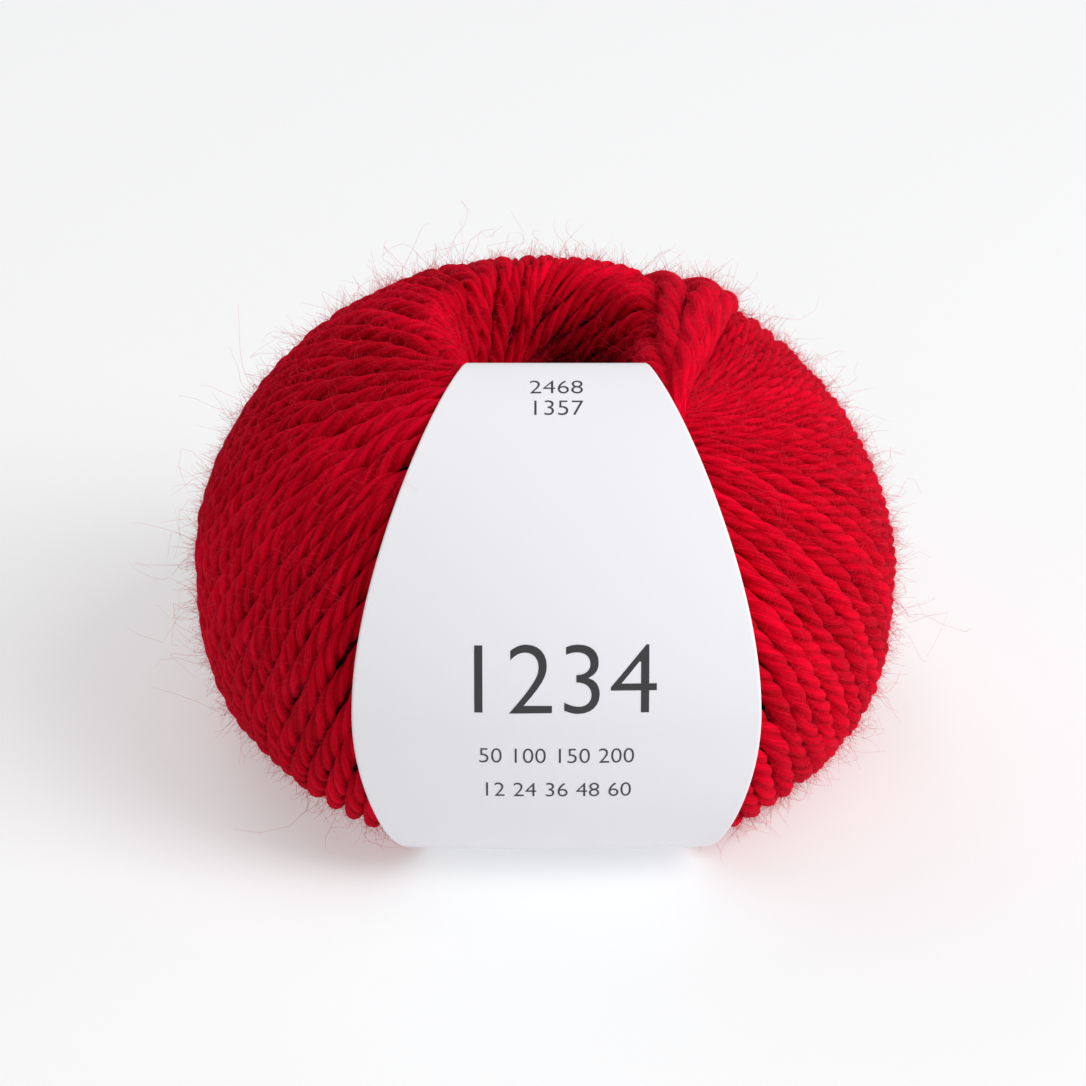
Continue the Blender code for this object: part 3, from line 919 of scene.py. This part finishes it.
def below_loose(places, normals):
    """How much deeper each point of a path must lie to pass under the loose turns."""
    deeper = np.zeros(len(places))
    touch = LOOSE_TOUCH * YARN
    for index, place in enumerate(places):
        spot, _, distance = loose_tree.find(place)
        if distance < touch:
            height = np.dot(np.array(spot) - place, normals[index])
            aside = math.sqrt(max(distance ** 2 - height ** 2, 0.0))
            deeper[index] = math.sqrt(touch ** 2 - aside ** 2) - height
    gathering = np.hypot(places[:, 0] - GATHER[0], places[:, 1] - GATHER[1]) / GATHER_REACH
    return deeper.clip(0.0, LOOSE_TOUCH * YARN) * ease(gathering - LOOSE_CLEAR)


left_turns, right_turns, lining_turns = Turns(SEED), Turns(SEED + 1), Turns(SEED + 3)
for turns in (left_turns, right_turns, lining_turns):
    turns.below += [below_loose, below_paper]
right_turns.gathers = True
for route in RIM_ROUTES:
    lay_route(right_turns, *route)
# at the back, the upward turns go down under the first loose turn
edge_azimuth, edge_arc = (column[np.argmin(loose_lines[0][1]):] for column in loose_lines[0])
back_edge = np.interp(arcs, edge_arc, edge_azimuth)
up_meets = np.arange(*UP_SPAN, -UP_STEP)[::-1]
down_meets = np.arange(*DOWN_SPAN, -DOWN_STEP)[::-1]
uncovered = np.full(len(arcs), -1.0)
for index, meet in enumerate(up_meets):
    azimuth, _, _ = up_half(meet)
    past = (back_edge - azimuth) * rim
    past[arcs < edge_arc[0]] = -1.0
    lay_half(left_turns, index, (meet, up_half), UP_STEP, past)
for index, meet in enumerate(down_meets):
    lay_half(right_turns, index, (meet, down_half), DOWN_STEP, uncovered, DOWN_CROWDED, GATHERED_ONWARD)
for index, meet in enumerate(np.arange(*LINING_SPAN, UP_STEP)):
    lay_half(lining_turns, index, (meet, lining), UP_STEP, arcs + LINING_COVERED)

turns_left = wind(left_turns, "turns_left", UP_PLY_SHARE)
turns_right = wind(right_turns, "turns_right", DOWN_PLY_SHARE)
turns_loose = wind(loose_turns, "turns_loose", LOOSE_PLY_SHARE)
wind(lining_turns, "turns_lining")


# ---- The fuzz -----------------------------------------------------------------------------------
# Wool fibres that stand off the yarn everywhere, short and curled, with a few long stray ones. They are
# part of the yarn, and the band holds them down where it covers them.

HAIR = 0.000048                            # thickness of one fibre
FUZZ_DENSITY = (1080000.0, 1420000.0)      # fibres on a square metre of yarn, on the left and right
FUZZ_LENGTH = (0.0008, 0.0026)
STRAY_DENSITY = 104000.0
STRAY_LENGTH = (0.0015, 0.0068)
OUTER_SIDE = 0.25                          # fibres show where the yarn faces outwards at least this much


def fuzz_tree():
    """Thin curled fibres rooted all over the outer side of a piece of yarn."""
    t = Tree("fuzz", {"Density": "NodeSocketFloat", "Seed": "NodeSocketInt", "Shortest": "NodeSocketFloat",
                      "Longest": "NodeSocketFloat", "Hair": "NodeSocketFloat", "Points": "NodeSocketInt",
                      "Wool": "NodeSocketMaterial"})
    facing = t.vector("DOT_PRODUCT", t.node("GeometryNodeInputNormal").outputs[0],
                      t.read("upright", "FLOAT_VECTOR"))
    facing = t.math("MULTIPLY", facing, t.read("bare"))
    sown = t.node("GeometryNodeDistributePointsOnFaces", {"distribute_method": "RANDOM"},
                  Mesh=t.given["Geometry"], Selection=t.math("GREATER_THAN", facing, OUTER_SIDE),
                  Density=t.given["Density"], Seed=t.given["Seed"])
    spot = t.node("GeometryNodeInputPosition").outputs[0]
    points = t.store(sown.outputs["Points"], "root", spot, "FLOAT_VECTOR")
    points = t.store(points, "away", sown.outputs["Normal"], "FLOAT_VECTOR")
    lean = t.node("FunctionNodeRandomValue", {"data_type": "FLOAT_VECTOR"},
                  _0=(-1.0, -1.0, -1.0), _1=(1.0, 1.0, 1.0), Seed=3).outputs["Value"]
    points = t.store(points, "lean", lean, "FLOAT_VECTOR")
    chance = t.node("FunctionNodeRandomValue", {"data_type": "FLOAT"}, _2=0.0, _3=1.0, Seed=5).outputs[1]
    spread = t.math("SUBTRACT", t.given["Longest"], t.given["Shortest"])
    reach = t.math("MULTIPLY_ADD", t.math("MULTIPLY", chance, chance), spread, t.given["Shortest"])
    points = t.store(points, "reach", reach)

    straight = t.node("GeometryNodeCurvePrimitiveLine", Start=(0.0, 0.0, 0.0), End=(0.0, 0.0, 1.0))
    straight = t.node("GeometryNodeResampleCurve", Curve=straight.outputs[0], Count=t.given["Points"])
    hairs = t.node("GeometryNodeInstanceOnPoints", Points=points, Instance=straight.outputs[0]).outputs[0]
    hairs = t.node("GeometryNodeRealizeInstances", Geometry=hairs).outputs[0]
    along = t.node("GeometryNodeSplineParameter").outputs["Factor"]
    far = t.math("MULTIPLY", along, t.read("reach"))
    rise = t.math("MULTIPLY", far, t.math("SUBTRACT", 0.90, t.math("MULTIPLY", along, 0.35)))
    drift = t.math("MULTIPLY", far, t.math("MULTIPLY_ADD", along, 0.35, 0.45))
    root = t.read("root", "FLOAT_VECTOR")
    shift = t.scaled(t.read("lean", "FLOAT_VECTOR"), t.math("MULTIPLY", far, 330.0))
    stirred = t.vector("ADD", t.scaled(root, 900.0), shift)
    curl = t.node("ShaderNodeTexNoise", Vector=stirred, Scale=1.0, Detail=0.0).outputs["Color"]
    curl = t.scaled(t.vector("SUBTRACT", curl, (0.5, 0.5, 0.5)), t.math("MULTIPLY", far, 2.8))
    offset = t.vector("ADD", t.scaled(t.read("away", "FLOAT_VECTOR"), rise),
                      t.scaled(t.read("lean", "FLOAT_VECTOR"), drift))
    where = t.vector("ADD", root, t.vector("ADD", offset, curl))
    where = t.vector("MAXIMUM", where, (-1.0, -1.0, HAIR))    # no fibre goes into the table
    hairs = t.node("GeometryNodeSetPosition", Geometry=hairs, Position=where).outputs[0]
    ring = t.node("GeometryNodeCurvePrimitiveCircle", Resolution=3,
                  Radius=t.math("MULTIPLY", t.given["Hair"], 0.5)).outputs[0]
    hairs = t.node("GeometryNodeCurveToMesh", Curve=hairs, Profile_Curve=ring, Fill_Caps=True,
                   Scale=t.math("SUBTRACT", 1.0, t.math("MULTIPLY", along, 0.6))).outputs[0]
    hairs = t.node("GeometryNodeSetShadeSmooth", Geometry=hairs, Shade_Smooth=True).outputs[0]
    hairs = t.node("GeometryNodeRealizeInstances", Geometry=hairs).outputs[0]
    hairs = t.node("GeometryNodeSetMaterial", Geometry=hairs, Material=t.given["Wool"]).outputs[0]
    t.put(hairs, t.result)
    return t


stray_wool = bpy.data.materials.new("stray_wool")
stray_wool.use_nodes = True
shader = stray_wool.node_tree.nodes["Principled BSDF"]
shader.inputs["Base Color"].default_value = (0.74, 0.008, 0.040, 1.0)
shader.inputs["Roughness"].default_value = 0.6
shader.inputs["Specular IOR Level"].default_value = 0.2
fuzz = fuzz_tree()


def fluff(bodies, name, density, length, points, seed):
    """Grow fibres on pieces of yarn and make them one piece."""
    bm = bmesh.new()
    skin = bpy.data.meshes.new(name + "_skin")
    for body in bodies:
        bm.from_mesh(body.data)
    bm.to_mesh(skin)
    bm.free()
    piece = fuzz.grow(link(name + "_skin", skin), name, {
        "Density": density, "Seed": seed, "Shortest": length[0], "Longest": length[1], "Hair": HAIR,
        "Points": points, "Wool": stray_wool})
    for spare in [layer.name for layer in piece.data.attributes]:
        if spare in ("root", "away", "lean", "reach", "upright", "fibre", "tone", "shade", "bare"):
            piece.data.attributes.remove(piece.data.attributes[spare])
    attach(piece, "root")


fluff((turns_left,), "fuzz_left", FUZZ_DENSITY[0], FUZZ_LENGTH, 2, 1)
fluff((turns_right, turns_loose), "fuzz_right", FUZZ_DENSITY[1], FUZZ_LENGTH, 2, 2)
fluff((turns_left, turns_right, turns_loose), "fuzz_stray", STRAY_DENSITY, STRAY_LENGTH, 9, 3)


# ---- The paper band -----------------------------------------------------------------------------
# Smooth white card, die-cut to one long shape and closed in a loop: down the front of the ball, where
# it is widest, under it and up the hole. Only its own tension holds it.

BAND_STATIONS = 150
BAND_COLUMNS = 24
CUT_ROUNDING = 0.00008
CUT_MARGIN = 0.00040                       # the face stays flat this close to the cut

band_shape = band_lines(BAND_STATIONS)
half = band_shape[:, 7:8]
face = np.linspace(-1.0, 1.0, BAND_COLUMNS - 2)
face_rise = PAPER_SOLID / 2
back_rise = PAPER_SOLID / 2 - PAPER
flat = np.concatenate([CUT_ROUNDING - half, (half - CUT_MARGIN) * face, half - CUT_ROUNDING], axis=1)
ring_side = np.concatenate([flat, half, half, flat[:, ::-1], -half, -half], axis=1)
ring_rise = np.concatenate([
    np.full(BAND_COLUMNS, face_rise), [face_rise - CUT_ROUNDING, back_rise + CUT_ROUNDING],
    np.full(BAND_COLUMNS, back_rise), [back_rise + CUT_ROUNDING, face_rise - CUT_ROUNDING]])
band_points, _ = across_band(band_shape, ring_side, np.broadcast_to(ring_rise, ring_side.shape))
band = link("band", closed_grid("band", band_points))

card = bpy.data.materials.new("white_card")
card.use_nodes = True
nodes, links = card.node_tree.nodes, card.node_tree.links
shader = nodes["Principled BSDF"]
shader.inputs["Base Color"].default_value = (0.868, 0.866, 0.902, 1.0)
shader.inputs["Roughness"].default_value = 0.62
shader.inputs["Specular IOR Level"].default_value = 0.3
place = nodes.new("ShaderNodeTexCoord")
grain = nodes.new("ShaderNodeTexNoise")
grain.inputs["Scale"].default_value = 2600.0
grain.inputs["Detail"].default_value = 4.0
relief = nodes.new("ShaderNodeBump")
relief.inputs["Strength"].default_value = 0.25
relief.inputs["Distance"].default_value = 0.00004
links.new(place.outputs["Object"], grain.inputs["Vector"])
links.new(grain.outputs["Fac"], relief.inputs["Height"])
links.new(relief.outputs["Normal"], shader.inputs["Normal"])
band.data.materials.append(card)
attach(band, "root")
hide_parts("paper_band")


# ---- The numbers on the band --------------------------------------------------------------------
# Plain numbers printed in dark grey ink, in three groups down the front.

INK_RISE = 0.00003
PRINT_THINNED = 0.014                      # taken off the strokes' edges, against the digits' height
PRINT_CELL = 0.0012                        # the print is cut this fine to follow the card's curve

# text, height of the digits, distance down from the crest, shift to the right
NUMBERS = (
    ("2468", 0.0026, 0.0062, 0.0),
    ("1357", 0.0026, 0.0100, 0.0),
    ("1234", 0.0096, 0.0510, 0.0),
    ("50 100 150 200", 0.0023, 0.0584, 0.0),
    ("12 24 36 48 60", 0.0023, 0.0638, 0.0))


def printed(text, height, down, shift):
    """Flat numbers as a mesh, cut into small cells: x to the right, y down the band's front."""
    curve = bpy.data.curves.new("number", "FONT")
    curve.body = text
    curve.align_x = "CENTER"
    curve.size = height / 0.70
    curve.resolution_u = 6
    curve.offset = -PRINT_THINNED * height
    letters = link("number", curve)
    bpy.context.view_layer.update()
    mesh = bpy.data.meshes.new_from_object(letters.evaluated_get(bpy.context.evaluated_depsgraph_get()))
    bpy.data.objects.remove(letters)
    bm = bmesh.new()
    bm.from_mesh(mesh)
    bmesh.ops.remove_doubles(bm, verts=bm.verts, dist=1e-6)
    for axis in (0, 1):
        low = min(v.co[axis] for v in bm.verts)
        high = max(v.co[axis] for v in bm.verts)
        for cut in np.arange(low + PRINT_CELL / 2, high, PRINT_CELL):
            plane = Vector((0.0, 0.0, 0.0))
            plane[axis] = 1.0
            bmesh.ops.bisect_plane(bm, geom=bm.verts[:] + bm.edges[:] + bm.faces[:],
                                   plane_co=plane * cut, plane_no=plane)
    for vert in bm.verts:
        vert.co = (vert.co.x + shift, down - vert.co.y, 0.0)
    bm.to_mesh(mesh)
    bm.free()
    return mesh


ink_mesh = bpy.data.meshes.new("ink")
bm = bmesh.new()
for number in NUMBERS:
    mesh = printed(*number)
    bm.from_mesh(mesh)
    bpy.data.meshes.remove(mesh)
spots = np.array([vert.co for vert in bm.verts])
lines_here = np.stack([np.interp(spots[:, 1], band_shape[:, 0], column) for column in band_shape.T], axis=1)
on_card, _ = across_band(lines_here, spots[:, :1], np.full((len(spots), 1), face_rise + INK_RISE))
for vert, spot in zip(bm.verts, on_card[:, 0]):
    vert.co = spot
bm.normal_update()
upward = sum(face.normal.y * face.calc_area() for face in bm.faces) < 0.0
if not upward:
    bmesh.ops.reverse_faces(bm, faces=bm.faces)
bm.to_mesh(ink_mesh)
bm.free()
numbers = link("numbers", ink_mesh)
ink = bpy.data.materials.new("grey_ink")
ink.use_nodes = True
ink.node_tree.nodes["Principled BSDF"].inputs["Base Color"].default_value = (0.035, 0.035, 0.037, 1.0)
ink.node_tree.nodes["Principled BSDF"].inputs["Roughness"].default_value = 0.6
numbers.data.materials.append(ink)
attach(numbers, "root")


# ---- The floor and the light --------------------------------------------------------------------
# A plain pale table and soft studio light, brightest from the upper right.

floor = link("floor", bpy.data.meshes.new("floor"))
bm = bmesh.new()
bmesh.ops.create_grid(bm, x_segments=1, y_segments=1, size=4.0)
bm.to_mesh(floor.data)
bm.free()
pale = bpy.data.materials.new("pale_table")
pale.use_nodes = True
shader = pale.node_tree.nodes["Principled BSDF"]
shader.inputs["Base Color"].default_value = (0.57, 0.575, 0.58, 1.0)
shader.inputs["Roughness"].default_value = 0.9
shader.inputs["Emission Color"].default_value = (0.99, 0.99, 1.0, 1.0)
shader.inputs["Emission Strength"].default_value = 0.407
floor.data.materials.append(pale)

world = bpy.data.worlds.new("studio")
world.use_nodes = True
world.node_tree.nodes["Background"].inputs["Color"].default_value = (1.0, 1.0, 1.0, 1.0)
world.node_tree.nodes["Background"].inputs["Strength"].default_value = 0.165
bpy.context.scene.world = world


def softbox(name, place, size, power):
    data = bpy.data.lights.new(name, "AREA")
    data.size = size
    data.energy = power
    light = bpy.data.objects.new(name, data)
    light.location = place
    light.rotation_euler = (-Vector(place)).to_track_quat("-Z", "Y").to_euler()
    bpy.context.scene.collection.objects.link(light)


softbox("key", (1.10, -0.48, 1.20), 0.9, 15.6)
softbox("side", (1.5, -0.6, 0.6), 0.8, 8.0)
softbox("front", (-0.2, -1.6, 1.0), 1.4, 4.0)
softbox("back", (-0.6, 1.0, 1.2), 1.0, 4.6)
softbox("top", (0.1, 0.0, 1.6), 1.2, 5.1)
bpy.context.scene.view_settings.view_transform = "Standard"
